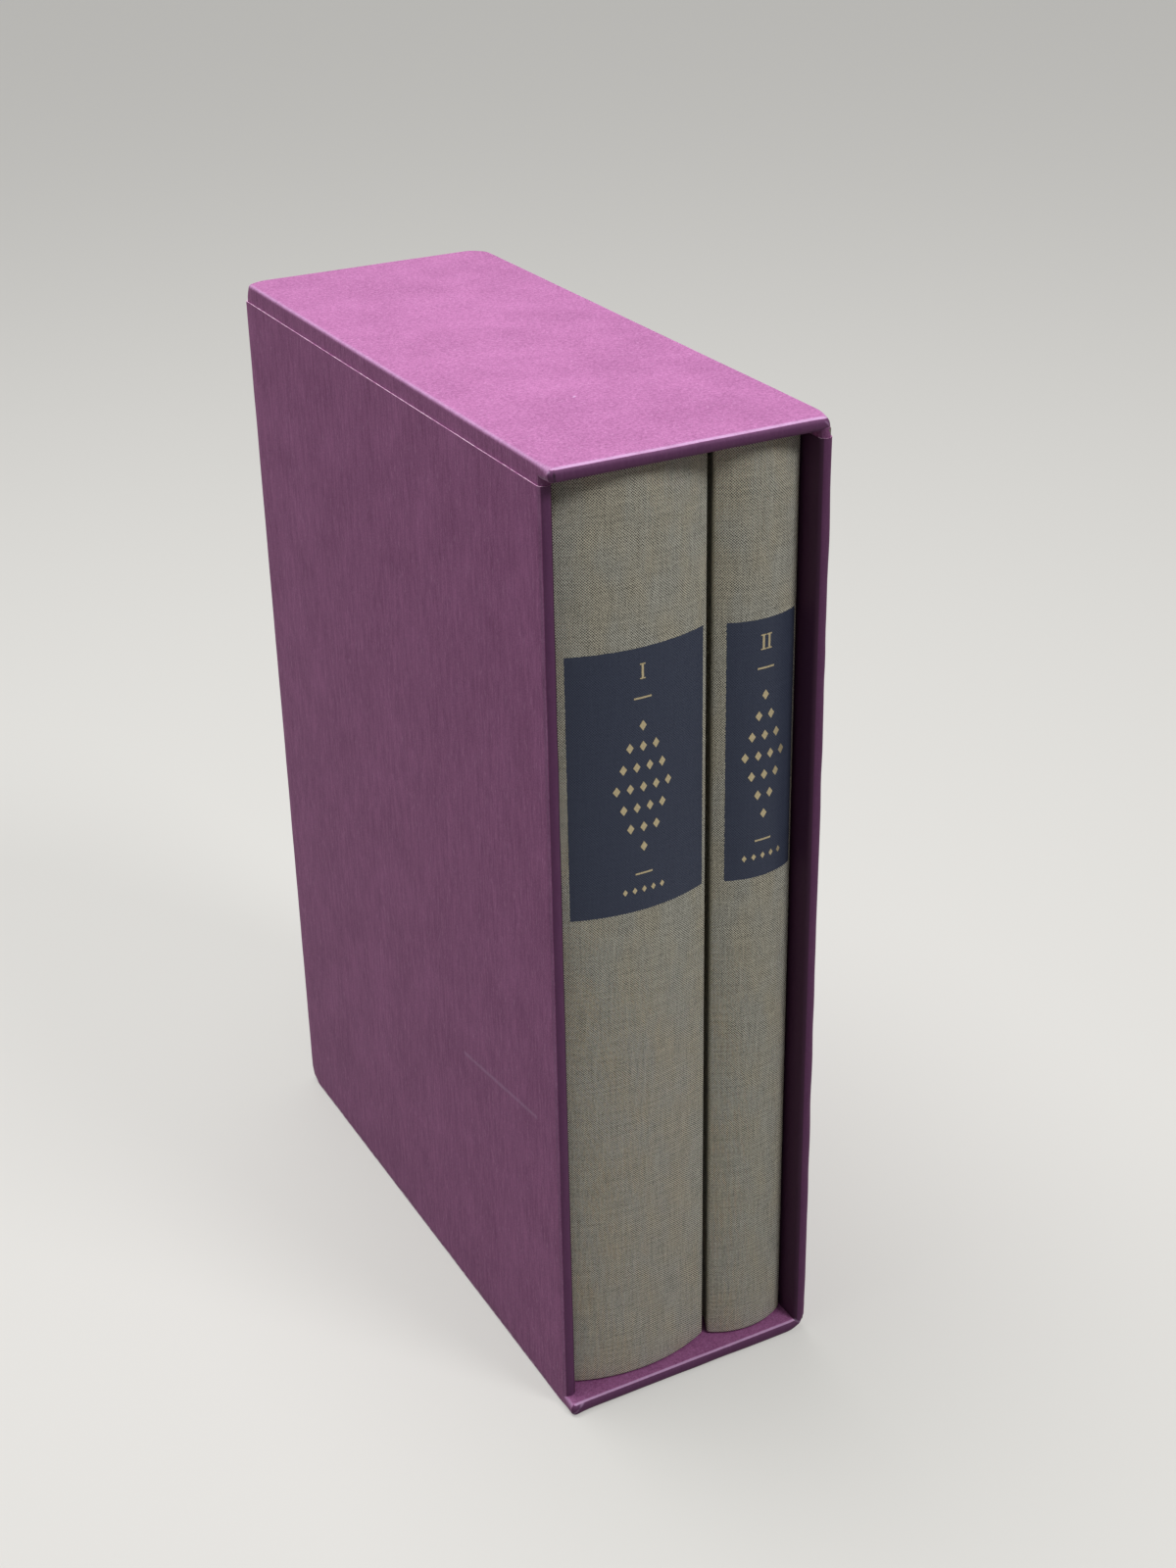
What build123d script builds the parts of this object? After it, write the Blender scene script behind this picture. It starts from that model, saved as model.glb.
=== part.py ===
# Paper covered slipcase that holds two case bound volumes.
# Z is up, the mouth of the case faces -Y and the origin is under the middle of the case.

import os
from math import sqrt

from build123d import *

os.makedirs("parts", exist_ok=True)

# Slipcase, boards and papers
board = 2.7
paper = 0.3
lap_width = 15.0  # covering folded over onto the next board
turn_in = 16.0  # covering folded round the mouth to the inside
cover_margin = 4.8  # strip of the top covering left showing above the side covering
base_margin = 3.0  # edge of the underside left bare by the base covering
left_set_back = 4.0  # the left wall stops this far behind the top and bottom
corner_radius = 0.9  # outer corners of the covering
mouth_radius = 1.3  # rounded mouth edges of the bare boards

# Volumes, how they stand in the case
thick_volume = 38.9
thin_volume = 22.3
left_clearance = 0.35
between_clearance = 0.4
right_clearance = 0.45
under_clearance = 0.3
over_clearance = 0.3
rear_clearance = 0.4
spine_inset = 3.7  # crown of the spines behind the mouth of the case
thick_spine_radius = 45.0
thin_spine_radius = 19.0

# Volumes, covers
head_square = 3.4  # how far the covers stand out past the leaves at the head and the tail
fore_square = 3.1  # and at the fore edge
cloth = 0.4
cover_board = 2.8
stiffener = 0.6
stiffener_edge = 1.6  # from the side of the volume to the edge of the stiffener
cloth_turn_in = 15.0
groove_depth = 2.6
board_start = 13.5  # these four are distances behind the crown of the spine
groove_end = 13.0
groove_floor_far = 10.7
groove_floor_near = 9.3
shoulder_edge = 0.2
shoulder_radius = 1.2
groove_radius = 0.6
cover_corner_radius = 0.7

# Volumes, leaves
page_height = 234.0
page_width = 156.0
endpaper = 0.4  # pastedown and flyleaf together
pastedown = 0.2
pastedown_margin = 3.0
backing_start = 9.3  # behind the crown of the spine, where the sections begin to spread
backing_tip = 5.9
backing_spread = 1.0
leaves_crown = 2.3  # crown of the sections behind the crown of the spine
mull = 0.2
mull_inset = 15.0  # from the head and the tail of the leaves
mull_flange = 25.0
spine_lining = 0.3
spine_lining_edge = 3.4
band_height = 2.4
band_thickness = 1.8

# The covers stand out past the leaves, and the case is made to measure round the two volumes
cover_height = page_height + 2 * head_square
cover_depth = backing_tip + page_width + fore_square
wall = board + 2 * paper
case_width = left_clearance + thick_volume + between_clearance + thin_volume + right_clearance + 2 * wall
case_depth = spine_inset + cover_depth + rear_clearance + wall
case_height = under_clearance + cover_height + over_clearance + 2 * wall

mouth_turn = mouth_radius + paper
right = case_width / 2
rear = case_depth / 2
mouth = -rear
left_mouth = mouth + left_set_back
inner_right = right - wall
inner_rear = rear - wall
inner_top = case_height - wall
lap_bottom = case_height - lap_width
side_top = case_height - cover_margin


def block(x, y, z, mode=Mode.ADD):
    # Box between two places along each axis
    with Locations(((x[0] + x[1]) / 2, (y[0] + y[1]) / 2, (z[0] + z[1]) / 2)):
        Box(x[1] - x[0], y[1] - y[0], z[1] - z[0], mode=mode)


def capped_block(x, y, z, radius, mode=Mode.ADD):
    # Box with its top, rear and upright rear edges rounded
    with BuildPart(mode=Mode.PRIVATE) as body:
        block(x, y, z)
        uprights = body.edges().filter_by(Axis.Z).group_by(Axis.Y)[-1]
        crest = body.edges().group_by(Axis.Z)[-1]
        fillet(uprights + crest.filter_by(Axis.Y) + crest.filter_by(Axis.X).group_by(Axis.Y)[-1], radius)
    add(body.part, mode=mode)


def wall_section(front, back, low, high, radius):
    # Section of a wall, depth by thickness, with its mouth edge rounded
    with BuildSketch() as section:
        with Locations(((front + back) / 2, (low + high) / 2)):
            Rectangle(back - front, high - low)
        fillet(section.vertices().group_by(Axis.X)[0], radius)
    return section.sketch


def flat_wall(x, front, back, z, radius, mode=Mode.ADD):
    # Top or bottom wall
    with BuildPart(mode=Mode.PRIVATE) as body:
        with BuildSketch(Plane.YZ.offset(x[0])):
            add(wall_section(front, back, z[0], z[1], radius))
        extrude(amount=x[1] - x[0])
    add(body.part, mode=mode)


def side_wall(x, front, back, z, radius, mode=Mode.ADD):
    # Left or right wall
    upright = Plane(origin=(0, 0, z[0]), x_dir=(0, 1, 0), z_dir=(0, 0, 1))
    with BuildPart(mode=Mode.PRIVATE) as body:
        with BuildSketch(upright):
            add(wall_section(front, back, -x[1], -x[0], radius))
        extrude(amount=z[1] - z[0])
    add(body.part, mode=mode)


def write(part, name):
    part.label = name
    export_step(part, f"parts/{name}.step")


# Covering of the top: folded down over both sides and the back, and round the mouth edge
top_level = case_height - paper
lap_right = right - paper
board_right = right - 2 * paper
lining_right = inner_right + paper
lining_x = (-lining_right, lining_right)
with BuildPart() as top_cover:
    mouth_end = mouth + turn_in
    flat_wall((-lap_right, lap_right), mouth, mouth_end, (inner_top, case_height), mouth_turn)
    for x in ((-right, -lining_right), (lining_right, right)):
        block(x, (mouth, rear), (inner_top, inner_top + paper), mode=Mode.SUBTRACT)
    outside = (mouth + mouth_turn, rear - paper)
    capped_block((-lap_right, lap_right), outside, (lap_bottom, case_height), corner_radius - paper)
    core = (mouth + mouth_turn, rear - 2 * paper)
    core_radius = corner_radius - 2 * paper
    capped_block((-board_right, board_right), core, (0, top_level), core_radius, mode=Mode.SUBTRACT)
    body = (inner_top + paper, top_level)
    flat_wall((-board_right, board_right), mouth + paper, 0, body, mouth_radius, mode=Mode.SUBTRACT)
    block((-right, -board_right), (mouth, left_mouth + mouth_turn), (0, inner_top), mode=Mode.SUBTRACT)
    block(lining_x, (mouth + mouth_turn, mouth_end), (inner_top, inner_top + paper))

# Boards of the case: the top and bottom reach over the sides, and the back closes them
with BuildPart() as top_board:
    capped_block((-board_right, board_right), core, body, core_radius)
    flat_wall((-board_right, board_right), mouth + paper, mouth + wall, body, mouth_radius)

with BuildPart() as bottom_board:
    flat_wall((-lap_right, lap_right), mouth + paper, rear - paper, (paper, wall - paper), mouth_radius)
    lap_inside = (lap_width - right, right - lap_width)
    for x in ((-right, lap_inside[0]), (lap_inside[1], right)):
        block(x, (left_mouth + mouth_turn, rear), (0, 2 * paper), mode=Mode.SUBTRACT)
    block(lap_inside, (rear - lap_width, rear), (0, 2 * paper), mode=Mode.SUBTRACT)

board_span = (wall - paper, inner_top + paper)
with BuildPart() as left_board:
    side_wall((-lap_right, -lining_right), left_mouth + paper, inner_rear + paper, board_span, mouth_radius)
    add(top_cover.part, mode=Mode.SUBTRACT)

with BuildPart() as right_board:
    side_wall((lining_right, lap_right), mouth + paper, inner_rear + paper, board_span, mouth_radius)
    add(top_cover.part, mode=Mode.SUBTRACT)

with BuildPart() as back_board:
    block((-lap_right, lap_right), (inner_rear + paper, rear - paper), board_span)
    fillet(back_board.edges().filter_by(Axis.Z).group_by(Axis.Y)[-1], corner_radius - paper)
    add(top_cover.part, mode=Mode.SUBTRACT)

# Lining papers inside the case
inside = (wall, inner_top)
with BuildPart() as top_lining:
    block(lining_x, (mouth + turn_in, inner_rear + paper), (inner_top, inner_top + paper))

with BuildPart() as bottom_lining:
    block(lining_x, (mouth + turn_in, inner_rear + paper), (wall - paper, wall))

with BuildPart() as left_lining:
    block((lining_x[0], -inner_right), (left_mouth + turn_in, inner_rear), inside)

with BuildPart() as right_lining:
    block((inner_right, lining_x[1]), (mouth + turn_in, inner_rear), inside)

with BuildPart() as back_lining:
    block((-inner_right, inner_right), (inner_rear, inner_rear + paper), inside)
    block((lining_x[0], -inner_right), (inner_rear, inner_rear + paper), inside)
    block((inner_right, lining_x[1]), (inner_rear, inner_rear + paper), inside)

# Covering of the sides and back: one sheet, round both upright mouth edges and under the bottom
with BuildPart() as side_cover:
    block((-right, right), (0, rear), (paper, side_top))
    fillet(side_cover.edges().filter_by(Axis.Z).group_by(Axis.Y)[-1], corner_radius)
    side_wall((-right, -inner_right), left_mouth, rear / 2, (paper, side_top), mouth_turn)
    side_wall((inner_right, right), mouth, rear / 2, (paper, side_top), mouth_turn)
    block((-inner_right, inner_right), (mouth, inner_rear), (0, case_height), mode=Mode.SUBTRACT)
    for x in ((-inner_right, lap_inside[0]), (lap_inside[1], inner_right)):
        block(x, (left_mouth + mouth_turn, inner_rear), (paper, 2 * paper))
    block(lap_inside, (rear - lap_width, inner_rear), (paper, 2 * paper))
    for piece in (top_cover, top_board, bottom_board, left_board, right_board, back_board):
        add(piece.part, mode=Mode.SUBTRACT)
    for piece in (left_lining, right_lining, bottom_lining, back_lining):
        add(piece.part, mode=Mode.SUBTRACT)
    block((-right, right), (mouth, mouth + mouth_turn), (0, wall), mode=Mode.SUBTRACT)

# Covering of the bottom: a plain sheet underneath, folded round the mouth edge
with BuildPart() as base_cover:
    flat_wall((-lap_right, lap_right), mouth, mouth + turn_in, (0, wall), mouth_turn)
    block((base_margin - right, right - base_margin), (mouth + mouth_turn, rear - base_margin), (0, paper))
    for x in ((-right, base_margin - right), (right - base_margin, right)):
        block(x, (mouth + 2 * wall, rear), (0, paper), mode=Mode.SUBTRACT)
    for piece in (side_cover, bottom_board, left_board, right_board):
        add(piece.part, mode=Mode.SUBTRACT)

case_pieces = {
    "left_board": left_board,
    "right_board": right_board,
    "top_board": top_board,
    "bottom_board": bottom_board,
    "back_board": back_board,
    "left_lining": left_lining,
    "right_lining": right_lining,
    "top_lining": top_lining,
    "bottom_lining": bottom_lining,
    "back_lining": back_lining,
    "top_cover": top_cover,
    "side_cover": side_cover,
    "base_cover": base_cover,
}
for name, piece in case_pieces.items():
    write(piece.part, f"slipcase_{name}")

# Volumes
crown = mouth + spine_inset
cover_rear = crown + cover_depth
cover_bottom = wall + under_clearance
cover_top = cover_bottom + cover_height
page_bottom = cover_bottom + head_square
page_top = page_bottom + page_height
page_rear = crown + backing_tip + page_width
groove_span = (crown, crown + board_start)
hair = 0.01


def at_depth(outline, place):
    return outline.vertices().filter_by_position(Axis.Y, place - hair, place + hair)


def arc_depth(radius, reach):
    # How far an arc falls back from its crown at a distance from the middle
    return radius - sqrt(radius**2 - reach**2)


def cover_outline(half, spine_radius, inset):
    # Plan of a closed volume: rounded spine, a groove on each side and a square fore edge
    edge = half - shoulder_edge
    quarter = crown + arc_depth(spine_radius, edge / 2)
    shoulder = crown + arc_depth(spine_radius, edge)
    floor = half - groove_depth
    with BuildSketch() as outline:
        with BuildLine():
            ThreePointArc((0, crown), (edge / 2, quarter), (edge, shoulder))
            Line((edge, shoulder), (floor, crown + groove_floor_near))
            Line((floor, crown + groove_floor_near), (floor, crown + groove_floor_far))
            Line((floor, crown + groove_floor_far), (half, crown + groove_end))
            Line((half, crown + groove_end), (half, cover_rear))
            Line((half, cover_rear), (0, cover_rear))
            mirror(about=Plane.YZ)
        make_face()
        fillet(at_depth(outline, shoulder), shoulder_radius)
        fillet(at_depth(outline, crown + groove_floor_near), groove_radius)
        fillet(at_depth(outline, crown + groove_floor_far), groove_radius)
        fillet(at_depth(outline, crown + groove_end), cover_corner_radius)
        if inset:
            offset(amount=-inset, kind=Kind.INTERSECTION, mode=Mode.REPLACE)
    return outline.sketch


def leaves_outline(inner_face, grow):
    # Plan of the sewn leaves: the back is rounded and spreads into shoulders, the fore edge is hollow
    tip = inner_face + backing_spread
    shoulder = crown + backing_tip
    joint = crown + backing_start
    hollow = crown + leaves_crown + page_width
    with BuildSketch() as outline:
        with BuildLine():
            ThreePointArc((-tip, shoulder), (0, crown + leaves_crown), (tip, shoulder))
            Line((tip, shoulder), (inner_face, joint))
            Line((inner_face, joint), (inner_face, page_rear))
            ThreePointArc((inner_face, page_rear), (0, hollow), (-inner_face, page_rear))
            Line((-inner_face, page_rear), (-inner_face, joint))
            Line((-inner_face, joint), (-tip, shoulder))
        make_face()
        if grow:
            offset(amount=grow, kind=Kind.ARC, mode=Mode.REPLACE)
    return outline.sketch


def upright(outline, z, centre, mode=Mode.ADD):
    # Prism that stands between two heights on a plan
    with BuildPart(mode=Mode.PRIVATE) as body:
        with BuildSketch(Plane(origin=(centre, 0, z[0]))):
            add(outline)
        extrude(amount=z[1] - z[0])
    add(body.part, mode=mode)


def beside(centre, side, near, far):
    # Stretch in x between two distances from the middle of a volume
    return tuple(sorted((centre + side * near, centre + side * far)))


def volume_pieces(half, spine_radius, centre):
    inner_face = half - cloth - cover_board
    leaf_face = inner_face - endpaper
    board_front = crown + board_start
    board_end = cover_rear - cloth
    covers = (cover_bottom, cover_top)
    under_cloth = (cover_bottom + cloth, cover_top - cloth)
    inside_folds = (cover_bottom + cloth_turn_in, cover_top - cloth_turn_in)
    pages = (page_bottom, page_top)
    mull_span = (page_bottom + mull_inset, page_top - mull_inset)
    joint = crown + backing_start
    flange_end = joint + mull_flange
    under_stiffener = cloth + stiffener
    stiffener_x = (centre - half + stiffener_edge, centre + half - stiffener_edge)
    spine_zone = (crown, crown + arc_depth(spine_radius, half - shoulder_edge) + cloth)
    pieces = {}

    for side, name in ((1, "front_board"), (-1, "back_board")):
        with BuildPart() as cover_side:
            board_x = beside(centre, side, inner_face + cloth, half - cloth)
            block(board_x, (board_front, board_end), under_cloth)
            between_folds = (board_front, cover_rear - cloth_turn_in)
            block(beside(centre, side, inner_face, inner_face + cloth), between_folds, inside_folds)
        pieces[name] = cover_side

    with BuildPart() as spine_stiffener:
        upright(cover_outline(half, spine_radius, cloth), under_cloth, centre)
        upright(cover_outline(half, spine_radius, under_stiffener), under_cloth, centre, mode=Mode.SUBTRACT)
        block(stiffener_x, spine_zone, under_cloth, mode=Mode.INTERSECT)
    pieces["spine_stiffener"] = spine_stiffener

    with BuildPart() as spine_fold:
        upright(cover_outline(half, spine_radius, cloth), covers, centre)
        under_fold = cover_outline(half, spine_radius, under_stiffener + cloth)
        upright(under_fold, covers, centre, mode=Mode.SUBTRACT)
        block(stiffener_x, spine_zone, covers, mode=Mode.INTERSECT)
        block(stiffener_x, spine_zone, inside_folds, mode=Mode.SUBTRACT)
        add(spine_stiffener.part, mode=Mode.SUBTRACT)

    with BuildPart() as cover_cloth:
        upright(cover_outline(half, spine_radius, 0), covers, centre)
        with BuildPart(mode=Mode.PRIVATE) as spine_hollow:
            upright(cover_outline(half, spine_radius, cloth), covers, centre)
            block((centre - half, centre + half), groove_span, covers, mode=Mode.INTERSECT)
        add(spine_hollow.part, mode=Mode.SUBTRACT)
        leaves_x = (centre - inner_face, centre + inner_face)
        block(leaves_x, (board_front, cover_rear), covers, mode=Mode.SUBTRACT)
        add(pieces["front_board"].part, mode=Mode.SUBTRACT)
        add(pieces["back_board"].part, mode=Mode.SUBTRACT)
        add(spine_fold.part)
    pieces["cover_cloth"] = cover_cloth

    with BuildPart() as mull_cloth:
        upright(leaves_outline(inner_face, mull), mull_span, centre)
        upright(leaves_outline(inner_face, 0), mull_span, centre, mode=Mode.SUBTRACT)
        block((centre - half, centre + half), (crown, flange_end), mull_span, mode=Mode.INTERSECT)
        add(cover_cloth.part, mode=Mode.SUBTRACT)
    pieces["mull"] = mull_cloth

    for name in ("front_board", "back_board"):
        with BuildPart() as cover_side:
            add(pieces[name].part)
            add(mull_cloth.part, mode=Mode.SUBTRACT)
        pieces[name] = cover_side

    for side, name in ((1, "front_endpaper"), (-1, "back_endpaper")):
        pasted = (cover_bottom + pastedown_margin, cover_top - pastedown_margin)
        with BuildPart() as folded_sheet:
            pasted_depth = (joint, cover_rear - pastedown_margin)
            block(beside(centre, side, inner_face - pastedown, inner_face), pasted_depth, pasted)
            block(beside(centre, side, leaf_face, inner_face - pastedown), (joint, page_rear), pages)
        pieces[name] = folded_sheet

    with BuildPart() as text_block:
        upright(leaves_outline(inner_face, 0), pages, centre)
        add(pieces["front_endpaper"].part, mode=Mode.SUBTRACT)
        add(pieces["back_endpaper"].part, mode=Mode.SUBTRACT)
    pieces["text_block"] = text_block

    with BuildPart() as lining_strip:
        upright(leaves_outline(inner_face, mull + spine_lining), pages, centre)
        upright(leaves_outline(inner_face, mull), pages, centre, mode=Mode.SUBTRACT)
        strip_x = (centre - half + spine_lining_edge, centre + half - spine_lining_edge)
        block(strip_x, (crown, joint), pages, mode=Mode.INTERSECT)
    pieces["spine_lining"] = lining_strip

    band_spans = {
        "headband": (page_top, page_top + band_height),
        "tailband": (page_bottom - band_height, page_bottom),
    }
    for name, z in band_spans.items():
        with BuildPart() as band:
            upright(leaves_outline(inner_face, 0), z, centre)
            upright(leaves_outline(inner_face, -band_thickness), z, centre, mode=Mode.SUBTRACT)
            block((centre - leaf_face, centre + leaf_face), (crown, joint), z, mode=Mode.INTERSECT)
        pieces[name] = band
    return pieces


left_edge = -inner_right + left_clearance
for name, thickness, spine_radius in (
    ("volume_1", thick_volume, thick_spine_radius),
    ("volume_2", thin_volume, thin_spine_radius),
):
    for piece_name, piece in volume_pieces(thickness / 2, spine_radius, left_edge + thickness / 2).items():
        write(piece.part, f"{name}_{piece_name}")
    left_edge += thickness + between_clearance
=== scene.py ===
import math

import bmesh
import bpy
from mathutils import Matrix, Vector, noise


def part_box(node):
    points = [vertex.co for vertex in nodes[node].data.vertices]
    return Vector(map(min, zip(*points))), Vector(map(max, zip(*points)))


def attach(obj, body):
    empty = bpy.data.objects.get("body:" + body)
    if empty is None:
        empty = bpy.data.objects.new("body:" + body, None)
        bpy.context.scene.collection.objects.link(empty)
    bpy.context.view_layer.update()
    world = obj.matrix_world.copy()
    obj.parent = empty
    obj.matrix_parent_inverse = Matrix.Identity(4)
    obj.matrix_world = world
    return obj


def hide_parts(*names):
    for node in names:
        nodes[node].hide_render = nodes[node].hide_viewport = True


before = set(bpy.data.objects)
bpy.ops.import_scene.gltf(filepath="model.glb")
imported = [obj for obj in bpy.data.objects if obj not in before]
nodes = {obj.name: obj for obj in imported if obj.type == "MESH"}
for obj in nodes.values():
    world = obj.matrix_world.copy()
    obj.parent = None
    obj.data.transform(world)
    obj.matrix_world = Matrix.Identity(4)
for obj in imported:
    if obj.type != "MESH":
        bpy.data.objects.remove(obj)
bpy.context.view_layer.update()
mm = 0.001  # lengths below are in millimetres until a mesh or a shader takes them
far = 1e3  # past every side of the case


def extent(*names):
    # Lowest and highest corner of some nodes together
    boxes = [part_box(name) for name in names]
    lowest = [min(box[0][i] for box in boxes) / mm for i in range(3)]
    highest = [max(box[1][i] for box in boxes) / mm for i in range(3)]
    return lowest, highest


# A shader socket that can be added, multiplied and compared
class Value:
    def __init__(self, shader, socket):
        self.shader = shader
        self.socket = socket

    def maths(self, operation, first, second=0.0, clamped=False):
        settings = {"operation": operation, "use_clamp": clamped}
        return self.shader.node("ShaderNodeMath", settings, {0: first, 1: second})

    def __add__(self, other):
        return self.maths("ADD", self, other)

    def __radd__(self, other):
        return self.maths("ADD", other, self)

    def __sub__(self, other):
        return self.maths("SUBTRACT", self, other)

    def __rsub__(self, other):
        return self.maths("SUBTRACT", other, self)

    def __mul__(self, other):
        return self.maths("MULTIPLY", self, other)

    def __rmul__(self, other):
        return self.maths("MULTIPLY", other, self)

    def __truediv__(self, other):
        return self.maths("DIVIDE", self, other)

    def __gt__(self, other):
        return self.maths("GREATER_THAN", self, other)

    def __lt__(self, other):
        return self.maths("LESS_THAN", self, other)

    def sine(self):
        return self.maths("SINE", self)

    def clamp(self):
        return self.maths("ADD", self, 0.0, clamped=True)

    def larger(self, other):
        return self.maths("MAXIMUM", self, other)


# A material, with short ways to the nodes that its finish is made of
class Shader:
    def __init__(self, name, **surface):
        self.material = bpy.data.materials.new(name)
        self.material.use_nodes = True
        self.tree = self.material.node_tree
        self.surface = self.tree.nodes["Principled BSDF"]
        for socket, value in surface.items():
            self.set(socket, value)

    def set(self, socket, value):
        target = self.surface.inputs[socket]
        if isinstance(value, Value):
            self.tree.links.new(value.socket, target)
        else:
            target.default_value = value

    def node(self, kind, settings=None, inputs=None, output=0):
        # Settings first, then the values or links of the sockets
        made = self.tree.nodes.new(kind)
        for key, value in (settings or {}).items():
            if key == "stops":
                ramp = made.color_ramp.elements
                while len(ramp) < len(value):
                    ramp.new(0.5)
                for element, (place, shade) in zip(ramp, value):
                    element.position = place
                    element.color = (shade, shade, shade, 1)
            else:
                setattr(made, key, value)
        for key, value in (inputs or {}).items():
            if isinstance(value, Value):
                self.tree.links.new(value.socket, made.inputs[key])
            else:
                made.inputs[key].default_value = value
        return Value(self, made.outputs[output])

    def place(self):
        return self.node("ShaderNodeTexCoord", output="Object")

    def axis(self, vector, name):
        return self.node("ShaderNodeSeparateXYZ", None, {"Vector": vector}, name)

    def attribute(self, name, output):
        return self.node("ShaderNodeAttribute", {"attribute_name": name}, None, output)

    def vectors(self, operation, inputs, output=0):
        return self.node("ShaderNodeVectorMath", {"operation": operation}, inputs, output)

    def stretched(self, vector, scale):
        return self.vectors("MULTIPLY", {0: vector, 1: scale})

    def cloud(self, vector, size, detail=2.0, rough=0.5):
        # Soft noise whose patches are about size millimetres wide
        inputs = {"Vector": vector, "Scale": 1 / (size * mm), "Detail": detail, "Roughness": rough}
        return self.node("ShaderNodeTexNoise", None, inputs)

    def ramp(self, value, *stops):
        return self.node("ShaderNodeValToRGB", {"stops": stops}, {"Fac": value})

    def blend(self, factor, first, second):
        return self.node("ShaderNodeMix", {"data_type": "RGBA"}, {0: factor, 6: first, 7: second}, 2)

    def bump(self, height, strength, distance):
        inputs = {"Strength": strength, "Distance": distance * mm, "Height": height}
        self.set("Normal", self.node("ShaderNodeBump", None, inputs))


def colour(red, green, blue):
    # A screen colour, 0 to 255, as the light it stands for
    parts = [value / 255 for value in (red, green, blue)]
    linear = [p / 12.92 if p <= 0.04045 else ((p + 0.055) / 1.055) ** 2.4 for p in parts]
    return (*linear, 1.0)


# Papers of the case
paperLook = {
    "plum": colour(184, 116, 168),
    "deepPlum": colour(140, 78, 126),
    "bloom": colour(206, 150, 196),  # paler fibres
    # Pale colour of rubbed paper, also used for painted sheen on the arrises and painted highlights at the
    # mouth and on the folds
    "wearAndLightTone": colour(214, 180, 220),
    # Painted shade on the mouth edges
    "mouth": colour(88, 48, 86),
    # Deeper painted shade inside the walls, where the paper is turned in
    "turnInShade": colour(64, 32, 58),
    # Painted shadow in the gap between two folds
    "slitShadow": colour(30, 14, 30),
    "core": colour(240, 208, 230),  # inside of the sheet, at a cut
    "lining": colour(80, 44, 72),
    "deepLining": colour(60, 30, 54),
    "mottle": 16,  # width of the cloudy patches
    "drawn": 0.9,  # of the fibres that run up the sheet
    "fibre": 0.7,
    "grain": 0.42,
}

# Painted highlights along the folds of the paper at the four corners of the mouth, a faint scuff on the left
# side and a speck on top
paleStrokes = [
    {"start": (-33.9, -85.2, 247.3), "end": (-34.0, -82.0, 243.6), "width": 0.5, "strength": 1.0},
    {"start": (31.3, -86.2, 248.0), "end": (34.2, -86.0, 244.8), "width": 0.45, "strength": 0.9},
    {"start": (-31.0, -85.6, 3.3), "end": (-34.6, -86.0, 0.4), "width": 0.5, "strength": 0.9},
    {"start": (31.2, -85.6, 3.5), "end": (34.0, -86.0, 1.2), "width": 0.45, "strength": 0.8},
    {"start": (-34.5, -30.8, 76.6), "end": (-34.5, -70.9, 81.7), "width": 0.8, "strength": 0.6},
    {"start": (-7.3, -45.9, 248.0), "end": (-6.8, -45.4, 248.0), "width": 0.4, "strength": 1.0},
]
# Painted shadow in the gap between two folds at the upper left corner
slitShadow = {"start": (-33.2, -86.3, 247.4), "end": (-32.6, -85.6, 244.2), "width": 0.45, "strength": 1.0}


def stroke(shader, place, start, end, width, strength):
    # Mask of a line between two places, broken up along its length
    run = Vector(end) - Vector(start)
    offset = shader.vectors("SUBTRACT", {0: place, 1: Vector(start) * mm})
    along = shader.vectors("DOT_PRODUCT", {0: offset, 1: run / run.length_squared}, "Value")
    nearest = shader.vectors("SCALE", {0: run * mm, "Scale": (along / mm).clamp()})
    away = shader.vectors("SUBTRACT", {0: offset, 1: nearest})
    apart = shader.vectors("LENGTH", {0: away}, "Value") / (width * mm)
    broken = 0.6 + 0.8 * shader.cloud(place, 1.6, 2.0)
    return strength * (broken - apart).clamp()


def plumPaper():
    # The value on a mesh's vertices is above 0 where the paper is rubbed and where sheen and highlights are
    # painted, and below 0 where shade is painted
    shader = Shader("plumPaper", **{"Specular IOR Level": 0.3})
    place = shader.place()
    mottle = shader.cloud(place, paperLook["mottle"], 4.0, 0.62)
    drawn = shader.cloud(shader.stretched(place, (1.0, 1.0, 0.12)), paperLook["drawn"], 4.0, 0.7)
    grain = shader.cloud(place, paperLook["grain"], 3.0, 0.8)
    tone = shader.ramp(0.18 * mottle + 0.36 * drawn + 0.46 * grain, (0.4, 0.0), (0.6, 1.0))
    sheet = shader.blend(tone, paperLook["deepPlum"], paperLook["plum"])
    fibre = shader.cloud(shader.stretched(place, (1.0, 1.0, 0.3)), paperLook["fibre"], 1.0)
    flecks = shader.ramp(fibre, (0.62, 0.0), (0.72, 1.0))
    sheet = shader.blend(0.3 * flecks, sheet, paperLook["bloom"])
    wear = shader.attribute("wear", "Fac")
    # Painted shade on the mouth edges
    sheet = shader.blend(0.85 * (0.0 - wear).clamp(), sheet, paperLook["mouth"])
    # Deeper painted shade where the paper is turned in inside the walls
    sheet = shader.blend(0.85 * (-1.0 - wear).clamp(), sheet, paperLook["turnInShade"])
    # Rubbing, with painted sheen on the arrises, painted highlights along the mouth and on the folds, a
    # scuff and a speck
    paleMask = (wear * (0.3 + 0.8 * shader.cloud(place, 4, 3.0, 0.7))).clamp()
    for line in paleStrokes:
        paleMask = paleMask.larger(stroke(shader, place, **line))
    sheet = shader.blend(0.6 * paleMask, sheet, paperLook["wearAndLightTone"])
    # Painted shadow in the gap between two folds
    sheet = shader.blend(0.85 * stroke(shader, place, **slitShadow), sheet, paperLook["slitShadow"])
    shader.set("Base Color", sheet)
    shader.set("Roughness", 0.56 + 0.16 * grain)
    shader.bump(0.55 * grain + 0.45 * drawn, 0.4, 0.1)
    return shader.material


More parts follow.
